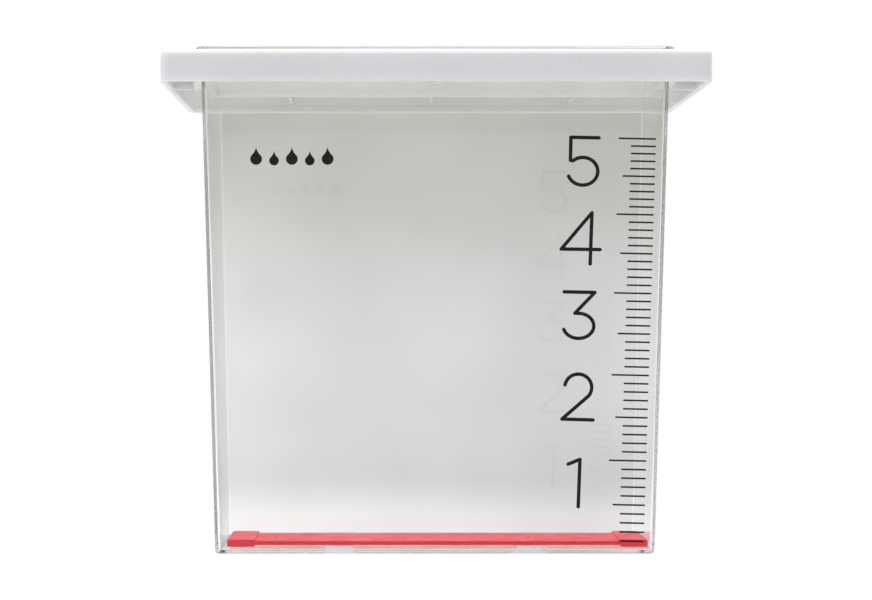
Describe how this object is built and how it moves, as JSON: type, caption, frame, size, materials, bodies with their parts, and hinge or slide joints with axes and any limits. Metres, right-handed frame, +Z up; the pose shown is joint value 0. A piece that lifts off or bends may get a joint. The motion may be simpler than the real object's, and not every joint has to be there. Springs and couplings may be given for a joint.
{
  "type": "manual rain gauge",
  "caption": "Wall-hung manual rain gauge: a clear tapered container in a white bracket, with a red float that rises along a printed scale.",
  "frame": {"origin": "middle of the wall bracket's back face, which lies against the wall", "axes": "+Z up, -Y out of the wall towards the reader, +X to the reader's right"},
  "size_m": [0.1938, 0.0846, 0.1821],
  "materials": {
    "white_plastic": "fine satin moulded plastic",
    "clear_plastic": "clear moulded plastic, slightly hazy",
    "red_plastic": "semi-gloss moulded plastic",
    "black_ink": "printed ink, raised by a few hundredths of a millimetre"
  },
  "bodies": {
    "bracket": {"wall_bracket": "white_plastic"},
    "container": {"container": "clear_plastic"},
    "float": {"float_bar": "red_plastic", "float_cap_left": "red_plastic", "float_cap_right": "red_plastic"}
  },
  "joints": [
    {"name": "container_lift", "type": "slide", "parent": "bracket", "child": "container", "axis": [0, 0, 1], "range_m": [0, 0.19]},
    {"name": "float_rise", "type": "slide", "parent": "container", "child": "float", "axis": [0, 0, 1], "range_m": [0, 0.175]}
  ]
}
